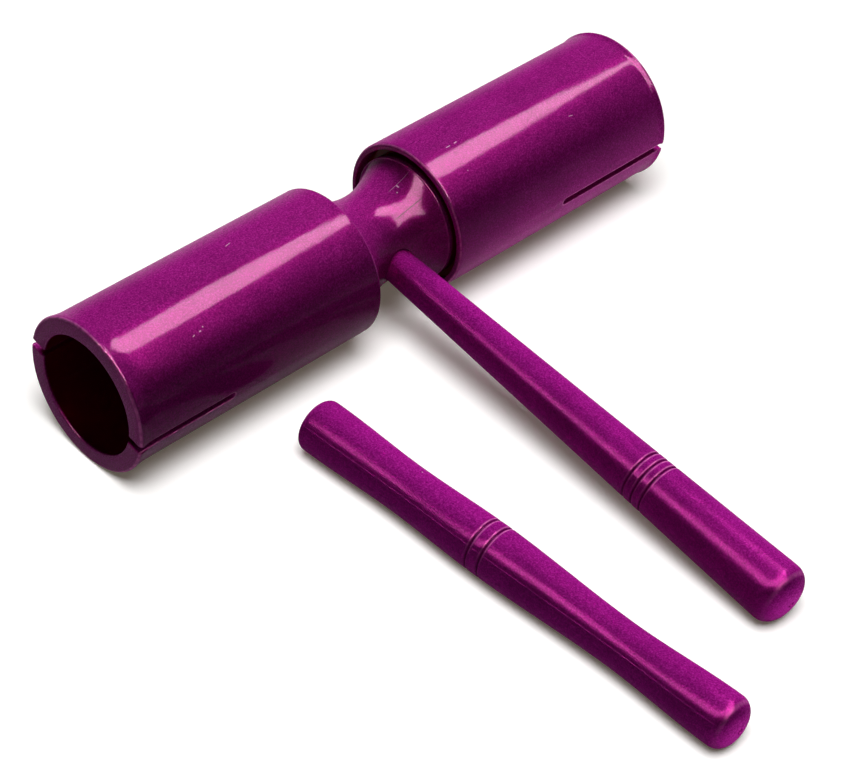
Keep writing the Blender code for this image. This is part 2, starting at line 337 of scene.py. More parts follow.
def make_tube(name, radius, rim_radius, flare_length, slot_length, material):
    """A tube with its mouth at 0 and its slots at the sides."""
    tube = turned(name, tube_profile(radius, rim_radius, flare_length), TUBE_SEGMENTS, material)
    cut(tube, slot_cutter(name + "_slot", slot_length, radius, rim_radius))
    return tube


def make_high_tube(material):
    tube = make_tube("high_tube_shell", HIGH_TUBE_RADIUS, HIGH_RIM_RADIUS, HIGH_FLARE_LENGTH,
                     HIGH_SLOT_LENGTH, material)
    place = (BLOCK_PLACE @ Matrix.Translation((-OVERALL_LENGTH / 2, 0.0, 0.0))
             @ Matrix.Rotation(HIGH_TUBE_TURN, 4, "X"))
    return settle(tube, place, "block", "high_tube")


def make_low_tube(material):
    tube = make_tube("low_tube_shell", LOW_TUBE_RADIUS, LOW_RIM_RADIUS, LOW_FLARE_LENGTH,
                     LOW_SLOT_LENGTH, material)
    place = (BLOCK_PLACE @ Matrix.Translation((OVERALL_LENGTH / 2, 0.0, 0.0))
             @ Matrix.Rotation(pi, 4, "Z"))
    return settle(tube, place, "block", "low_tube")


# Hub

def hub_half(tube_radius):
    """Half of the hub's outline, from the middle of its waist to its end face."""
    plug_radius = tube_radius - SKIRT_THICKNESS - CLEARANCE
    flange_radius = tube_radius - SKIRT_THICKNESS - MOAT_WIDTH
    tube_end = WAIST_LENGTH / 2
    shoulder = tube_end + MOAT_DEPTH
    end = shoulder + PLUG_LENGTH
    lip, edge = FLANGE_LIP_ROUNDING, PLUG_EDGE_ROUNDING
    run = tube_end - FLANGE_STAND
    rise = flange_radius - lip - WAIST_RADIUS
    arc = (run * run + rise * rise) / (2 * rise)
    steps = [run * step / FLARE_STEPS for step in range(1, FLARE_STEPS + 1)]
    flare = [(place, WAIST_RADIUS + arc - sqrt(arc * arc - place * place)) for place in steps]
    lip_start = 180 - degrees(asin(run / arc)) / 2
    return [
        *flare,
        *corner((run + lip, flange_radius - lip), lip, lip_start, 90)[1:],
        (shoulder, flange_radius),
        (shoulder, plug_radius),
        *corner((end - edge, plug_radius - edge), edge, 90, 0),
        (end, 0.0),
    ]


def make_hub(material):
    high_side = [(-place, radius) for place, radius in hub_half(HIGH_TUBE_RADIUS)]
    outline = high_side[::-1] + [(0.0, WAIST_RADIUS)] + hub_half(LOW_TUBE_RADIUS)
    hub = turned("hub_shell", outline, TUBE_SEGMENTS, material)
    socket = turned("socket", [(SOCKET_END, 0.0), (SOCKET_END, SOCKET_RADIUS),
                               (WAIST_RADIUS + CUT_MARGIN, SOCKET_RADIUS),
                               (WAIST_RADIUS + CUT_MARGIN, 0.0)], STICK_SEGMENTS)
    socket.rotation_euler = (0.0, 0.0, -pi / 2)
    bpy.context.view_layer.update()
    cut(hub, socket)
    return settle(hub, BLOCK_PLACE, "block", "hub")


# Sticks

def groove(place, radius_at):
    """A groove with a rounded section in a turned outline."""
    points = []
    for step in range(GROOVE_STEPS + 1):
        share = step / GROOVE_STEPS
        spot = place + GROOVE_WIDTH * (share - 0.5)
        points.append((spot, radius_at(spot) - GROOVE_DEPTH * sin(pi * share) ** 2))
    return points


def dome(start, length, radius, fullness=END_FULLNESS, gate=False):
    """A rounded end from its shoulder to its tip; a gate mark is a dimple with a nub."""
    power = 2 / fullness
    angles = [pi / 2 * step / DOME_STEPS for step in range(DOME_STEPS)]
    rounded = [(start + length * sin(angle) ** power, radius * cos(angle) ** power)
               for angle in angles]
    tip = start + length
    if not gate:
        return rounded + [(tip, 0.0)]
    outside = [point for point in rounded if point[1] > GATE_CLEAR_RADIUS]
    bottom = tip - GATE_DEPTH
    return outside + [
        (outside[-1][0], GATE_RADIUS),
        (bottom, GATE_FLOOR_RADIUS),
        (bottom, GATE_NUB_FOOT_RADIUS),
        (tip - GATE_NUB_SHOULDER, GATE_NUB_RADIUS),
        (tip - GATE_NUB_TOP, GATE_NUB_TOP_RADIUS),
        (tip - GATE_NUB_TOP, 0.0),
    ]


def handle_radius(place):
    """The handle's straight taper."""
    taper = (HANDLE_END_RADIUS - HANDLE_ROOT_RADIUS) / (HANDLE_SHOULDER - WAIST_RADIUS)
    return HANDLE_ROOT_RADIUS + taper * (place - WAIST_RADIUS)


def make_handle(material):
    outline = [
        (HANDLE_ROOT, 0.0),
        (HANDLE_ROOT, handle_radius(HANDLE_ROOT) - HANDLE_ROOT_CHAMFER),
    ]
    start = HANDLE_ROOT + HANDLE_ROOT_CHAMFER
    for place in reversed(HANDLE_GROOVE_PLACES):
        outline += spread(start, place - GROOVE_ROOM, TAPER_STEPS, handle_radius)
        outline += groove(place, handle_radius)
        start = place + GROOVE_ROOM
    outline += spread(start, HANDLE_SHOULDER - GROOVE_WIDTH, TAPER_STEPS, handle_radius)
    outline += dome(HANDLE_SHOULDER, HANDLE_DOME, HANDLE_END_RADIUS, gate=True)
    handle = turned("handle_grip", outline, STICK_SEGMENTS, material)
    place = BLOCK_PLACE @ Matrix.Rotation(-pi / 2, 4, "Z")
    return settle(handle, place, "block", "handle")


def beater_stations():
    """The places where the beater is thickest or thinnest, with their radii."""
    return [
        (BEATER_SHOULDER_A, BEATER_END_A_RADIUS),
        (BEATER_WAIST_A, BEATER_NECK_A_RADIUS),
        (BEATER_MIDDLE, BEATER_MIDDLE_RADIUS),
        (BEATER_NECK_B_PLACE, BEATER_NECK_B_RADIUS),
        (BEATER_END_B_PLACE, BEATER_END_B_RADIUS),
    ]


def beater_radius(place):
    """The beater swells and narrows smoothly from each station to the next."""
    stations = beater_stations()
    place = min(max(place, stations[0][0]), stations[-1][0])
    for (start, radius), (end, next_radius) in zip(stations, stations[1:]):
        if place <= end:
            share = (place - start) / (end - start)
            return radius + (next_radius - radius) * share * share * (3 - 2 * share)
    return stations[-1][1]


def beater_outline():
    """The whole section of the beater, from the end by the tubes to its far tip."""
    stations = beater_stations()
    smooth = [stations[0]]
    for (start, _), (end, _) in zip(stations, stations[1:]):
        smooth += spread(start, end, SWELL_STEPS, beater_radius)[1:]
    clear = [point for point in smooth
             if all(abs(point[0] - place) > GROOVE_ROOM for place in BEATER_GROOVE_PLACES)]
    rings = [point for place in BEATER_GROOVE_PLACES for point in groove(place, beater_radius)]
    end_a = [(BEATER_DOME_A - place, radius) for place, radius
             in dome(0.0, BEATER_DOME_A, BEATER_END_A_RADIUS, BEATER_END_A_FULLNESS)]
    end_b = dome(BEATER_LENGTH - BEATER_DOME_B, BEATER_DOME_B, BEATER_END_B_RADIUS, gate=True)
    return end_a[::-1] + sorted(clear + rings) + end_b


def make_beater(material):
    beater = turned("beater_stick", beater_outline(), STICK_SEGMENTS, material,
                    parting=BEATER_PARTING_ANGLE)
    height = max(radius * cos(BEATER_LEAN) + place * sin(BEATER_LEAN)
                 for place, radius in beater_stations())
    lie = Euler((0.0, BEATER_LEAN, BEATER_ANGLE - pi / 2)).to_matrix().to_4x4()
    spot = (-BEATER_SIDE, BLOCK_Y - WIDER_RIM - BEATER_GAP, height)
    return settle(beater, Matrix.Translation(spot) @ lie, "beater", "beater")


# Materials

class Surface:
    """Adds and links the nodes of one material.

    Its places are those of the piece before it was moved, or else the object's.
    """

    def __init__(self, name, local=True):
        self.material = bpy.data.materials.new(name)
        self.material.use_nodes = True
        self.tree = self.material.node_tree
        self.shader = self.tree.nodes["Principled BSDF"]
        if local:
            self.place = self.add("ShaderNodeAttribute", attribute_name=LOCAL).outputs["Vector"]
        else:
            self.place = self.add("ShaderNodeTexCoord").outputs["Object"]

    def add(self, kind, **settings):
        node = self.tree.nodes.new(kind)
        for key, value in settings.items():
            setattr(node, key, value)
        return node

    def without_shader(self):
        """Takes the plastic shader out, and gives the input that another shader goes into."""
        self.tree.nodes.remove(self.shader)
        return self.tree.nodes["Material Output"].inputs["Surface"]

    def link(self, source, target):
        """Links an output to an input, or sets the input to a plain value."""
        if isinstance(source, (int, float, tuple)):
            target.default_value = source
        else:
            self.tree.links.new(source, target)

    def noise(self, scale, detail=2.0, roughness=0.5):
        texture = self.add("ShaderNodeTexNoise")
        texture.inputs["Scale"].default_value = scale
        texture.inputs["Detail"].default_value = detail
        texture.inputs["Roughness"].default_value = roughness
        self.link(self.place, texture.inputs["Vector"])
        return texture.outputs["Fac"]

    def remap(self, value, low, high, to_low=0.0, to_high=1.0):
        """Takes low to to_low and high to to_high, and stays there beyond them."""
        node = self.add("ShaderNodeMapRange")
        node.inputs["From Min"].default_value = low
        node.inputs["From Max"].default_value = high
        node.inputs["To Min"].default_value = to_low
        node.inputs["To Max"].default_value = to_high
        self.link(value, node.inputs["Value"])
        return node.outputs["Result"]

    def maths(self, operation, first, second=0.0):
        node = self.add("ShaderNodeMath", operation=operation)
        self.link(first, node.inputs[0])
        self.link(second, node.inputs[1])
        return node.outputs["Value"]

    def mix(self, share, first, second):
        """Mixes two colours, whose sockets the node has at 6 and 7, with the result at 2."""
        node = self.add("ShaderNodeMix", data_type="RGBA")
        self.link(share, node.inputs[0])
        self.link(first, node.inputs[6])
        self.link(second, node.inputs[7])
        return node.outputs[2]

    def round_places(self):
        """Place along the piece's axis, distance from it, place to its side and height above it."""
        parts = self.add("ShaderNodeSeparateXYZ")
        self.link(self.place, parts.inputs[0])
        along, side, up = parts.outputs
        square = self.maths("ADD", self.maths("MULTIPLY", side, side), self.maths("MULTIPLY", up, up))
        return along, self.maths("SQRT", square), side, up

    def near(self, first, second, point, reach):
        """1 at a point of the section that first and second span, and 0 beyond its reach."""
        across = self.maths("SUBTRACT", first, point[0])
        upward = self.maths("SUBTRACT", second, point[1])
        square = self.maths("ADD", self.maths("MULTIPLY", across, across),
                            self.maths("MULTIPLY", upward, upward))
        return self.remap(self.maths("SQRT", square), reach, reach * NEAR_CORE)

    def strongest(self, masks):
        """The largest of several masks at each place."""
        result = masks[0]
        for mask in masks[1:]:
            result = self.maths("MAXIMUM", result, mask)
        return result


# Colours as they show under plain light; specks are a deep and a light one
TUBE_COLOUR = srgb(148, 24, 119)
TUBE_SPECKS = (srgb(94, 6, 74), srgb(200, 50, 166))
STICK_COLOUR = srgb(162, 22, 136)
STICK_SPECKS = (srgb(98, 4, 82), srgb(212, 48, 180))
# Pale pink of worn edges, which also paints highlight lines along rims, slots, grooves and shoulders
WORN_HIGHLIGHT_COLOUR = srgb(226, 110, 190)
# Painted shade inside the bores and in the moat
RECESS_SHADE_COLOUR = srgb(84, 0, 14)
MARK_PALE = srgb(240, 190, 225)
# Dark marks, and painted shade in the sticks' groove bottoms
DARK_MARK_AND_SHADE = srgb(60, 5, 45)
TUBE_ROUGHNESS = (0.16, 0.38)   # at the speckle's smoothest and roughest
STICK_ROUGHNESS = (0.16, 0.30)

# A little of the plastic gleams like metal in its own colour, under a clear skin
TUBE_FINISH = {"Metallic": 0.010, "Specular IOR Level": 0.0,
               "Coat Weight": 0.25, "Coat Roughness": 0.07, "Coat IOR": 1.2}
STICK_FINISH = {"Metallic": 0.011, "Specular IOR Level": 0.0,
                "Coat Weight": 0.05, "Coat Roughness": 0.20, "Coat IOR": 1.2}

# Speckle and clouds are noise; a range says where it starts to show and where it shows fully
SPECKLE_SCALE = 2200.0
SPECKLE_LIGHT = (0.50, 0.80)
SPECKLE_DEEP = (0.50, 0.20)
SPECKLE_ROUGH = (0.3, 0.7)
SPECKLE_RELIEF = 0.000034
COAT_RELIEF = 0.000010
CLOUD_SCALE = 60.0
CLOUD_DEEP = (0.52, 0.20)
CLOUD_DEPTH = 0.35
CLOUD_ROUGH = (0.35, 0.75)
CLOUD_DULLING = 0.04

# Dust: pale grains in some of the cells of a fine pattern
DUST_SCALE = 150.0
DUST_SIZE = 0.035
DUST_CORE = DUST_SIZE * 0.5
DUST_CHOICE_SCALE = DUST_SCALE * 0.3
DUST_CHOICE = 0.66              # grains show only where noise is above this
DUST_STRENGTH = 0.7

# Worn edges, which also carry painted highlight lines: how far each reaches, how strong it is, and how
# patchy all of them are
WEAR_HIGHLIGHT_REACH = 0.0006
FINE_WEAR_HIGHLIGHT_REACH = WEAR_HIGHLIGHT_REACH * 0.5
SLOT_WEAR_HIGHLIGHT_REACH = WEAR_HIGHLIGHT_REACH * 0.6
INNER_WEAR_HIGHLIGHT_REACH = WEAR_HIGHLIGHT_REACH * 0.7
SHOULDER_WEAR_HIGHLIGHT_REACH = WEAR_HIGHLIGHT_REACH * 1.4
NEAR_CORE = 0.35                # the share of its reach in which a spot is at its strongest
EDGE_INSET = 0.0003             # from the corner of a rounded edge to the middle of its worn, highlit band
FINE_INSET = 0.0001             # the same at a finer edge
BORE_EDGE_WEAR_HIGHLIGHT = 0.4
HIGH_INNER_WEAR_HIGHLIGHT = 0.3
LOW_INNER_WEAR_HIGHLIGHT = 0.9
FLANGE_WEAR_HIGHLIGHT = 0.4
SHOULDER_WEAR_HIGHLIGHT = 0.5
SHOULDER_PLACE = 0.5            # a worn shoulder with a painted highlight, as a share of its dome's length
FLAT_SHOULDER_PLACE = 0.3       # the same at the beater's flatter end
SHOULDER_RADIUS = 0.93          # and as a share of that end's radius
GROOVE_EDGE = GROOVE_WIDTH * 0.55       # from a groove's middle to its worn edges, which carry a painted highlight line
GROOVE_HIGHLIGHT_HEIGHT = (0.25, 0.85)       # painted highlight: on a stick, the edge lines grow lighter from its side to its top
GROOVE_HIGHLIGHT_SHARE = (0.15, 1.0)
PATCH_SCALE = SPECKLE_SCALE * 0.4
PATCH_RANGE = (0.38, 0.62)
PATCH_SHARE = (0.45, 0.95)

# Painted shade in the grooves' bottoms, in the bores and in the moat
GROOVE_SHADE_REACH = 0.00045
GROOVE_SHADE_STRENGTH = 0.75
DARK_DULLING = 0.60             # dark marks and the painted groove shade are this much rougher
BORE_START = 0.0012             # the painted shade begins this far inside the tube's surface
BORE_FULL = 0.0010              # and is full this far outside the bore's wall
BORE_MARGIN = 0.0009            # it comes in over this length from the mouth
MOAT_FADE = MOAT_DEPTH * 0.3

# Small marks: place along the piece's own axis, angle in degrees from its own -Y side over
# its top, half length along the axis, half width round it, and the slant between them
MARK_CORE = 0.6                 # the share of its size in which a mark is at its strongest
HIGH_TUBE_MARKS = [(0.0267, 59.7, 0.00035, 0.00022, 0.0), (0.0244, 59.0, 0.0004, 0.00016, 0.3),
                   (0.0280, 61.5, 0.0002, 0.0002, 0.0), (0.0510, 108.0, 0.0011, 0.00010, 0.2)]
LOW_TUBE_MARKS = [(0.0741, 93.4, 0.0009, 0.00014, 0.0), (0.0712, 93.2, 0.0006, 0.00018, 0.1),
                  (0.0330, 118.0, 0.0008, 0.00010, -0.2)]
LOW_TUBE_DASHES = [(0.0809, 74.1, 0.0016, 0.00011, 0.05), (0.0788, 76.0, 0.0008, 0.00009, 0.1),
                   (0.0700, 73.0, 0.0005, 0.00012, 0.0)]
HUB_MARKS = [(0.0091, 90.3, 0.00022, 0.0006, 0.0), (0.0078, 85.0, 0.0002, 0.0002, 0.0)]
HUB_WITNESS_START = (0.0020, 59.0)      # place and angle in degrees of a moulding line's ends
HUB_WITNESS_END = (0.0126, 65.4)
HUB_WITNESS_WIDTH = 0.00020
HUB_WITNESS_RISE = 0.0010               # of the hub above its waist, where the line is
HUB_TOP_LINE = (0.0060, 0.0142, 92.4)   # a fainter line: from, to, angle in degrees
HUB_TOP_WIDTH = 0.00010
HUB_TOP_STRENGTH = 0.45


def across_round(surface, side, up, angle):
    """How far a point lies to the side of a line at an angle, and whether it faces that way."""
    angle = radians(angle)
    fore = surface.maths("MULTIPLY", side, sin(angle))
    rise = surface.maths("MULTIPLY", up, cos(angle))
    front = surface.maths("MULTIPLY", side, -cos(angle))
    top = surface.maths("MULTIPLY", up, sin(angle))
    facing = surface.maths("GREATER_THAN", surface.maths("ADD", front, top), 0.0)
    return surface.maths("ADD", fore, rise), facing


def mark_mask(surface, places, mark):
    """1 on a small mark, and 0 round it."""
    along, _, side, up = places
    place, angle, half_length, half_width, slant = mark
    offset, facing = across_round(surface, side, up, angle)
    run = surface.maths("SUBTRACT", along, place)
    offset = surface.maths("SUBTRACT", offset, surface.maths("MULTIPLY", run, slant))
    far = surface.maths("MAXIMUM",
                        surface.maths("DIVIDE", surface.maths("ABSOLUTE", run), half_length),
                        surface.maths("DIVIDE", surface.maths("ABSOLUTE", offset), half_width))
    return surface.maths("MULTIPLY", surface.remap(far, 1.0, MARK_CORE), facing)


def plastic(surface, colour, specks, roughness, finish, wear_and_highlight, bore=None, pale=None, dark=None):
    """Moulded plastic with a fine speckle in colour, gloss and relief, and light wear with painted
    highlight lines.

    The last four arguments are masks: worn edges with painted highlight lines, painted shade inside a
    bore or moat, small pale marks, and dark marks with painted shade in groove bottoms.
    """
    deep_speck, light_speck = specks
    speckle = surface.noise(SPECKLE_SCALE, detail=3.0, roughness=0.6)
    clouds = surface.noise(CLOUD_SCALE, detail=4.0, roughness=0.6)
    body = surface.mix(surface.remap(speckle, *SPECKLE_LIGHT), colour, light_speck)
    body = surface.mix(surface.remap(speckle, *SPECKLE_DEEP), body, deep_speck)
    body = surface.mix(surface.remap(clouds, *CLOUD_DEEP, 0.0, CLOUD_DEPTH), body, deep_speck)

    cells = surface.add("ShaderNodeTexVoronoi")
    cells.inputs["Scale"].default_value = DUST_SCALE
    surface.link(surface.place, cells.inputs["Vector"])
    grain = surface.remap(cells.outputs["Distance"], DUST_SIZE, DUST_CORE)
    chosen = surface.maths("GREATER_THAN", surface.noise(DUST_CHOICE_SCALE), DUST_CHOICE)
    dust = surface.maths("MULTIPLY", grain, chosen)
    body = surface.mix(surface.maths("MULTIPLY", dust, DUST_STRENGTH), body, MARK_PALE)
    patchy = surface.remap(surface.noise(PATCH_SCALE, detail=3.0), *PATCH_RANGE, *PATCH_SHARE)
    # Worn edges, lightened also as painted highlight lines
    body = surface.mix(surface.maths("MULTIPLY", wear_and_highlight, patchy), body, WORN_HIGHLIGHT_COLOUR)
    if pale is not None:
        body = surface.mix(pale, body, MARK_PALE)
    # Dark marks, and on the sticks painted shade in the groove bottoms
    if dark is not None:
        body = surface.mix(dark, body, DARK_MARK_AND_SHADE)
    # Painted shade inside the bores and in the moat
    if bore is not None:
        body = surface.mix(bore, body, RECESS_SHADE_COLOUR)
    surface.link(body, surface.shader.inputs["Base Color"])

    dulled = surface.maths("ADD", surface.remap(speckle, *SPECKLE_ROUGH, *roughness),
                           surface.remap(clouds, *CLOUD_ROUGH, 0.0, CLOUD_DULLING))
    if dark is not None:
        dulled = surface.maths("ADD", dulled, surface.maths("MULTIPLY", dark, DARK_DULLING))
    surface.link(dulled, surface.shader.inputs["Roughness"])

    for socket, relief in (("Normal", SPECKLE_RELIEF), ("Coat Normal", COAT_RELIEF)):
        bump = surface.add("ShaderNodeBump")
        bump.inputs["Strength"].default_value = 1.0
        bump.inputs["Distance"].default_value = relief
        surface.link(speckle, bump.inputs["Height"])
        surface.link(bump.outputs["Normal"], surface.shader.inputs[socket])
    for socket, value in finish.items():
        surface.shader.inputs[socket].default_value = value
    return surface.material


def tube_plastic(name, radius, rim_radius, slot_length, inner_wear_highlight, marks, dashes=()):
    """A tube's plastic: worn rim, slots and ends with painted highlight lines, painted shade in the bore,
    pale marks and dark dashes.
    """
    surface = Surface(name)
    places = surface.round_places()
    along, spun, _, up = places
    bore_radius = radius - TUBE_WALL
    half = SLOT_WIDTH / 2
    run = surface.maths("MAXIMUM", surface.maths("SUBTRACT", along, slot_length - half), 0.0)
    reach = surface.maths("SQRT", surface.maths("ADD", surface.maths("MULTIPLY", run, run),
                                                surface.maths("MULTIPLY", up, up)))
    # Worn edges at the slots, the rim, the bore and the inner end, which also carry painted highlight
    # lines
    slot_edge = surface.near(reach, spun, (half + FINE_INSET, radius), SLOT_WEAR_HIGHLIGHT_REACH)
    rim_edge = surface.near(along, spun, (EDGE_INSET, rim_radius - EDGE_INSET), WEAR_HIGHLIGHT_REACH)
    bore_edge = surface.near(along, spun, (FINE_INSET, bore_radius + FINE_INSET), FINE_WEAR_HIGHLIGHT_REACH)
    inner_edge = surface.near(along, spun, (TUBE_LENGTH - EDGE_INSET, radius - EDGE_INSET),
                              INNER_WEAR_HIGHLIGHT_REACH)
    wear_and_highlight = surface.strongest([
        rim_edge,
        surface.maths("MULTIPLY", BORE_EDGE_WEAR_HIGHLIGHT, bore_edge),
        surface.maths("MULTIPLY", inner_wear_highlight, inner_edge),
        slot_edge,
    ])
    # Painted shade: darker inside the bore, coming in from the mouth
    inside = surface.remap(spun, radius - BORE_START, bore_radius + BORE_FULL)
    deep = surface.remap(along, 0.0, BORE_MARGIN)
    bore = surface.maths("MULTIPLY", inside, deep)
    pale = surface.strongest([mark_mask(surface, places, mark) for mark in marks])
    dark = surface.strongest([mark_mask(surface, places, dash) for dash in dashes]) if dashes else None
    return plastic(surface, TUBE_COLOUR, TUBE_SPECKS, TUBE_ROUGHNESS, TUBE_FINISH, wear_and_highlight, bore, pale, dark)


def hub_plastic(name):
    """The hub's plastic: worn flanges with a painted highlight line, painted shade in the moat, moulding
    lines and small marks.
    """
    surface = Surface(name)
    places = surface.round_places()
    along, spun = places[:2]
    tube_end = WAIST_LENGTH / 2
    lip = tube_end - FLANGE_STAND + FLANGE_LIP_ROUNDING / 2
    edges = []
    for direction, radius in ((-1, HIGH_TUBE_RADIUS), (1, LOW_TUBE_RADIUS)):
        flange = radius - SKIRT_THICKNESS - MOAT_WIDTH
        edges.append(surface.near(along, spun, (direction * lip, flange - FINE_INSET), FINE_WEAR_HIGHLIGHT_REACH))

    start, end = HUB_WITNESS_START, HUB_WITNESS_END
    middle = ((start[0] + end[0]) / 2, (start[1] + end[1]) / 2)
    radius = WAIST_RADIUS + HUB_WITNESS_RISE
    slant = radians(end[1] - start[1]) * radius / (end[0] - start[0])
    witness = (middle[0], middle[1], (end[0] - start[0]) / 2, HUB_WITNESS_WIDTH, slant)
    low, high, angle = HUB_TOP_LINE
    top = ((low + high) / 2, angle, (high - low) / 2, HUB_TOP_WIDTH, 0.0)
    top_line = surface.maths("MULTIPLY", mark_mask(surface, places, top), HUB_TOP_STRENGTH)
    pale = surface.strongest([mark_mask(surface, places, mark) for mark in HUB_MARKS] + [top_line])
    dark = mark_mask(surface, places, witness)
    # Worn flange edges, which also carry a painted highlight line
    wear_and_highlight = surface.maths("MULTIPLY", surface.strongest(edges), FLANGE_WEAR_HIGHLIGHT)
    # Painted shade in the moat, beyond the tubes' ends
    moat = surface.remap(surface.maths("ABSOLUTE", along), tube_end, tube_end + MOAT_FADE)
    return plastic(surface, TUBE_COLOUR, TUBE_SPECKS, TUBE_ROUGHNESS, TUBE_FINISH, wear_and_highlight, moat, pale, dark)


def stick_plastic(name, rings, shoulders):
    """A stick's plastic: worn shoulders and groove edges with a painted highlight on their top, and
    painted shade in the groove bottoms.

    rings are the grooves and shoulders the rounded ends, as points of the stick's outline.
    """
    surface = Surface(name)
    along, spun, _, up = surface.round_places()
    edges = []
    for place, radius in rings:
        for way in (-1, 1):
            edges.append(surface.near(along, spun, (place + way * GROOVE_EDGE, radius), FINE_WEAR_HIGHLIGHT_REACH))
    for shoulder in shoulders:
        edges.append(surface.maths("MULTIPLY", SHOULDER_WEAR_HIGHLIGHT,
                                   surface.near(along, spun, shoulder, SHOULDER_WEAR_HIGHLIGHT_REACH)))
    # Painted highlight: the worn lines are lighter toward the stick's top, where the light falls
    lit_top = surface.remap(surface.maths("DIVIDE", up, spun), *GROOVE_HIGHLIGHT_HEIGHT, *GROOVE_HIGHLIGHT_SHARE)
    wear_and_highlight = surface.maths("MULTIPLY", surface.strongest(edges), lit_top)
    # Painted shade in the groove bottoms
    bottoms = surface.strongest([
        surface.near(along, spun, (place, radius - GROOVE_DEPTH), GROOVE_SHADE_REACH)
        for place, radius in rings])
    groove_shade = surface.maths("MULTIPLY", bottoms, GROOVE_SHADE_STRENGTH)
    return plastic(surface, STICK_COLOUR, STICK_SPECKS, STICK_ROUGHNESS, STICK_FINISH, wear_and_highlight, dark=groove_shade)


def handle_plastic():
    rings = [(place, handle_radius(place)) for place in HANDLE_GROOVE_PLACES]
    shoulder = (HANDLE_SHOULDER + HANDLE_DOME * SHOULDER_PLACE, HANDLE_END_RADIUS * SHOULDER_RADIUS)
    return stick_plastic("handle_plastic", rings, [shoulder])


def beater_plastic():
    rings = [(place, beater_radius(place)) for place in BEATER_GROOVE_PLACES]
    shoulders = [
        (BEATER_DOME_A * FLAT_SHOULDER_PLACE, BEATER_END_A_RADIUS * SHOULDER_RADIUS),
        (BEATER_LENGTH - BEATER_DOME_B * SHOULDER_PLACE, BEATER_END_B_RADIUS * SHOULDER_RADIUS),
    ]
    return stick_plastic("beater_plastic", rings, shoulders)


# Floor, light and camera

WHITE = (1.0, 1.0, 1.0, 1.0)
FLOOR_RADIUS = 9.0
FLOOR_SIDES = 64
FLOOR_LIFT = (0.09, 0.085, 0.06, 1.0)   # light of its own, so that its shadow stays pale
FLOOR_BOUNCE = (0.14, 0.14, 0.14, 1.0)  # its colour for the light that it throws on the set
SHADOWED_REACH = 0.45                   # the floor shows the shadow out to here
WHITE_REACH = 0.90                      # and is plain white from here on
WALL_HEIGHT = 1.5
WALL_GLOW = 0.45                        # a pale grey backdrop, far behind

# An overhead diffuser with four corners and hollow sides: points to the right (+X) and
# back (+Y), for a card at a height of 1 above the tubes' axis
CARD_HEIGHT = 2.25
CARD_OUTLINE = [
    (1.12, 0.16), (1.00, 0.09), (0.92, 0.06), (0.85, 0.08), (0.81, 0.12), (0.77, 0.20),
    (0.65, 0.24), (0.60, 0.23), (0.55, 0.15), (0.50, 0.11), (0.28, 0.04), (0.00, -0.14),
    (-0.30, -0.02), (-0.60, 0.25), (-0.95, 0.60), (-1.50, 0.84), (-1.05, 0.26),
    (-0.78, -0.04), (-0.52, -0.40), (-0.44, -0.70), (-0.50, -1.00), (-0.64, -1.42),
    (-0.28, -1.10), (0.08, -0.98), (0.42, -1.08), (0.80, -1.38), (0.56, -0.95),
    (0.515, -0.68), (0.50, -0.56), (0.46, -0.44), (0.48, -0.33), (0.57, -0.30),
    (0.65, -0.25), (0.74, -0.17), (0.80, -0.08), (0.86, -0.03), (0.92, 0.02), (1.00, 0.06),
]
CARD_MIDDLE = (0.0, -0.3)
CARD_COLOUR = (1.0, 0.64, 0.77, 1.0)
CARD_GLOW = 108.0

# Lamps for the set: a key from the right behind, a weak fill from the left, and sheets that
# lie on the floor and shine up
KEY_PLACE = (1.26, 1.18, 1.60)
KEY_SIZE = (0.8, 0.8)
KEY_WATTS = 64.0
FILL_PLACE = (-1.60, 0.00, 0.20)
FILL_SIZE = (1.0, 0.4)
FILL_WATTS = 1.7
REFLECTOR_PLACE = (0.068, 0.038, 0.0015)        # under the front of the low tube
REFLECTOR_SIZE = (0.10, 0.022)
REFLECTOR_WATTS = 0.012
SHEET_PLACE = (0.26, -0.10, 0.004)              # in front, to the right
SHEET_SIZE = (0.3, 0.2)
SHEET_WATTS = 0.60
TIP_SHEET_DISTANCE = 0.020                      # from a stick's tip to the sheet's middle
TIP_SHEET_HEIGHT = 0.0015
TIP_SHEET_SIZE = (0.024, 0.030)
TIP_SHEET_WATTS = 0.0070

# A lamp for the floor alone
FLOOR_LAMP_PLACE = (-0.46, -0.37, 2.15)
FLOOR_LAMP_SIZE = (1.4, 1.4)
FLOOR_LAMP_WATTS = 63.0
WORLD_COLOUR = (0.02, 0.02, 0.02, 1.0)


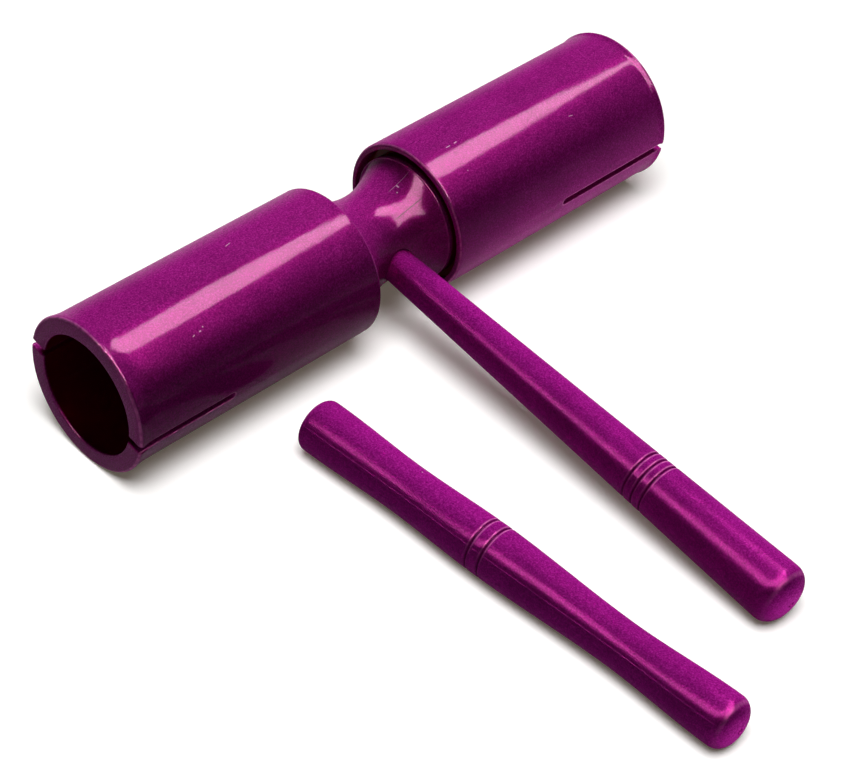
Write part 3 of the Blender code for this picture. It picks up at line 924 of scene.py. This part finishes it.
def floor_material():
    """White floor: it takes the shadow near the set and is plain white far away."""
    surface = Surface("floor_white", local=False)
    output = surface.without_shader()
    diffuse = surface.add("ShaderNodeBsdfDiffuse")
    diffuse.inputs["Color"].default_value = WHITE
    lift = surface.add("ShaderNodeEmission")
    lift.inputs["Color"].default_value = FLOOR_LIFT
    near = surface.add("ShaderNodeAddShader")
    surface.link(diffuse.outputs[0], near.inputs[0])
    surface.link(lift.outputs[0], near.inputs[1])
    white = surface.add("ShaderNodeEmission")
    length = surface.add("ShaderNodeVectorMath", operation="LENGTH")
    surface.link(surface.place, length.inputs[0])
    far = surface.remap(length.outputs["Value"], SHADOWED_REACH, WHITE_REACH)
    shown = surface.add("ShaderNodeMixShader")
    surface.link(far, shown.inputs[0])
    surface.link(near.outputs[0], shown.inputs[1])
    surface.link(white.outputs[0], shown.inputs[2])

    bounce = surface.add("ShaderNodeBsdfDiffuse")
    bounce.inputs["Color"].default_value = FLOOR_BOUNCE
    path = surface.add("ShaderNodeLightPath")
    seen = surface.strongest([path.outputs["Is Camera Ray"], path.outputs["Is Glossy Ray"],
                              path.outputs["Is Transmission Ray"]])
    mixed = surface.add("ShaderNodeMixShader")
    surface.link(seen, mixed.inputs[0])
    surface.link(bounce.outputs[0], mixed.inputs[1])
    surface.link(shown.outputs[0], mixed.inputs[2])
    surface.link(mixed.outputs[0], output)
    return surface.material


def glowing(name, strength, colour=WHITE):
    """A material that shines by itself, at a strength that is 1 for white."""
    surface = Surface(name, local=False)
    output = surface.without_shader()
    glow = surface.add("ShaderNodeEmission")
    glow.inputs["Strength"].default_value = strength
    glow.inputs["Color"].default_value = colour
    surface.link(glow.outputs[0], output)
    return surface.material


def floor_edge(bm, height):
    """Vertices round the floor's edge, at a height."""
    angles = [2 * pi * count / FLOOR_SIDES for count in range(FLOOR_SIDES)]
    return [bm.verts.new((FLOOR_RADIUS * cos(angle), FLOOR_RADIUS * sin(angle), height))
            for angle in angles]


def make_floor():
    bm = bmesh.new()
    bm.faces.new(floor_edge(bm, 0.0))
    floor = add_mesh("floor", bm, floor_material())
    return floor


def make_backdrop():
    """A low pale wall all round, which only views from near the floor's height show."""
    bm = bmesh.new()
    low = floor_edge(bm, 0.0)
    high = floor_edge(bm, WALL_HEIGHT)
    for count in range(FLOOR_SIDES):
        after = (count + 1) % FLOOR_SIDES
        bm.faces.new((low[count], high[count], high[after], low[after]))
    backdrop = add_mesh("backdrop", bm, glowing("backdrop_pale", WALL_GLOW))
    backdrop.visible_diffuse = False


def make_card():
    """The overhead diffuser: it shows only in what is glossy, and lights nothing else."""
    bm = bmesh.new()

    def corner_at(right, back):
        return bm.verts.new((right * CARD_HEIGHT, BLOCK_Y + back * CARD_HEIGHT,
                             AXIS_HEIGHT + CARD_HEIGHT))

    rim = [corner_at(right, back) for right, back in CARD_OUTLINE]
    middle = corner_at(*CARD_MIDDLE)
    for count in range(len(rim)):
        bm.faces.new((middle, rim[count], rim[(count + 1) % len(rim)]))
    card = add_mesh("card", bm, glowing("card_glow", CARD_GLOW, CARD_COLOUR))
    card.visible_camera = False
    card.visible_diffuse = False
    card.visible_shadow = False


def area_light(name, place, size, watts, floor, on_floor=False, lying=False):
    """A rectangular lamp, seen neither directly nor in gloss.

    It lights all but the floor, or the floor alone. It faces the middle of the set, or
    straight up where it is lying.
    """
    data = bpy.data.lights.new(name, "AREA")
    data.shape = "RECTANGLE"
    data.size, data.size_y = size
    data.energy = watts
    lamp = bpy.data.objects.new(name, data)
    bpy.context.collection.objects.link(lamp)
    lamp.visible_camera = False
    lamp.visible_glossy = False
    back = (Vector(place) - Vector((0.0, 0.0, AXIS_HEIGHT))).normalized()
    if lying:
        back = Vector((0.0, 0.0, -1.0))
    lamp.matrix_world = Matrix.Translation(place) @ back.to_track_quat("Z", "Y").to_matrix().to_4x4()
    group = bpy.data.collections.new(name + "_lights")
    group.objects.link(floor)
    if not on_floor:
        for entry in group.collection_objects:
            entry.light_linking.link_state = "EXCLUDE"
    lamp.light_linking.receiver_collection = group


def make_lights(floor):
    area_light("key", KEY_PLACE, KEY_SIZE, KEY_WATTS, floor)
    area_light("fill", FILL_PLACE, FILL_SIZE, FILL_WATTS, floor)
    area_light("reflector", REFLECTOR_PLACE, REFLECTOR_SIZE, REFLECTOR_WATTS, floor, lying=True)
    area_light("sheet", SHEET_PLACE, SHEET_SIZE, SHEET_WATTS, floor, lying=True)
    handle_tip = BLOCK_PLACE @ Vector((0.0, -HANDLE_REACH, 0.0))
    beater_tip = (-BEATER_SIDE + BEATER_LENGTH * sin(BEATER_ANGLE), BLOCK_Y - BEATER_FRONT)
    for name, tip in (("handle_sheet", handle_tip), ("beater_sheet", beater_tip)):
        place = (tip[0], tip[1] - TIP_SHEET_DISTANCE, TIP_SHEET_HEIGHT)
        area_light(name, place, TIP_SHEET_SIZE, TIP_SHEET_WATTS, floor, lying=True)
    area_light("floor_lamp", FLOOR_LAMP_PLACE, FLOOR_LAMP_SIZE, FLOOR_LAMP_WATTS, floor, on_floor=True)


def make_world():
    world = bpy.data.worlds.new("studio")
    bpy.context.scene.world = world
    world.use_nodes = True
    world.node_tree.nodes["Background"].inputs["Color"].default_value = WORLD_COLOUR


def make_camera():
    """The camera of the photograph; away points from the set to it."""
    azimuth, elevation, roll = (radians(value) for value in
                                (CAMERA_AZIMUTH, CAMERA_ELEVATION, CAMERA_ROLL))
    away = Vector((-cos(elevation) * sin(azimuth), -cos(elevation) * cos(azimuth), sin(elevation)))
    level = Vector((cos(azimuth), -sin(azimuth), 0.0))
    upright = away.cross(level)
    right = cos(roll) * level + sin(roll) * upright
    up = -sin(roll) * level + cos(roll) * upright
    data = bpy.data.cameras.new("camera")
    data.lens = CAMERA_LENS
    data.sensor_width = CAMERA_SENSOR
    data.clip_start = CAMERA_NEAR
    data.clip_end = CAMERA_FAR
    camera = bpy.data.objects.new("camera", data)
    bpy.context.collection.objects.link(camera)
    target = Vector((CAMERA_TARGET[0], CAMERA_TARGET[1] + BLOCK_Y, 0.0))
    axes = Matrix((right, up, away)).transposed().to_4x4()
    camera.matrix_world = Matrix.Translation(target + CAMERA_DISTANCE * away) @ axes
    bpy.context.scene.camera = camera


make_camera()
floor_plane = make_floor()
make_backdrop()
make_world()
make_card()
make_lights(floor_plane)

make_high_tube(tube_plastic("high_tube_plastic", HIGH_TUBE_RADIUS, HIGH_RIM_RADIUS,
                            HIGH_SLOT_LENGTH, HIGH_INNER_WEAR_HIGHLIGHT, HIGH_TUBE_MARKS))
make_low_tube(tube_plastic("low_tube_plastic", LOW_TUBE_RADIUS, LOW_RIM_RADIUS,
                           LOW_SLOT_LENGTH, LOW_INNER_WEAR_HIGHLIGHT, LOW_TUBE_MARKS, LOW_TUBE_DASHES))
make_hub(hub_plastic("hub_plastic"))
make_handle(handle_plastic())
make_beater(beater_plastic())

bpy.context.scene.view_settings.view_transform = "Standard"
